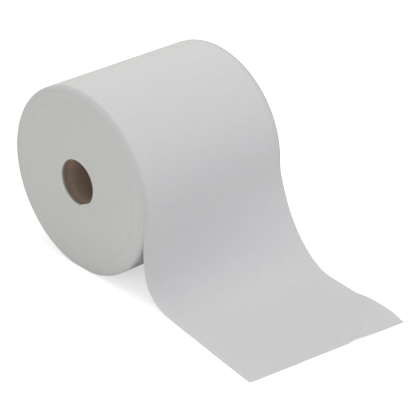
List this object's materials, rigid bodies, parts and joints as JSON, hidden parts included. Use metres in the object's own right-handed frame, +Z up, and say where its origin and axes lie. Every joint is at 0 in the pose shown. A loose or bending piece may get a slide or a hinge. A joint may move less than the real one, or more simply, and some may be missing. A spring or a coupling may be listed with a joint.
{
  "type": "roll of cleaning cloths",
  "caption": "Wide roll of white nonwoven cleaning cloth on a cardboard core, lying on its side with the free end drawn out flat in front.",
  "frame": {"origin": "on the axis of the cardboard core, halfway along the roll", "axes": "+X along the roll's axis, +Z up from the surface the roll lies on, free end drawn out towards -Y"},
  "size_m": [0.3121, 0.6123, 0.3119],
  "materials": {
    "core": "matte grey-brown board",
    "cloth": "matte white nonwoven"
  },
  "bodies": {
    "root": {"core": "core", "cloth": "cloth"}
  },
  "joints": []
}
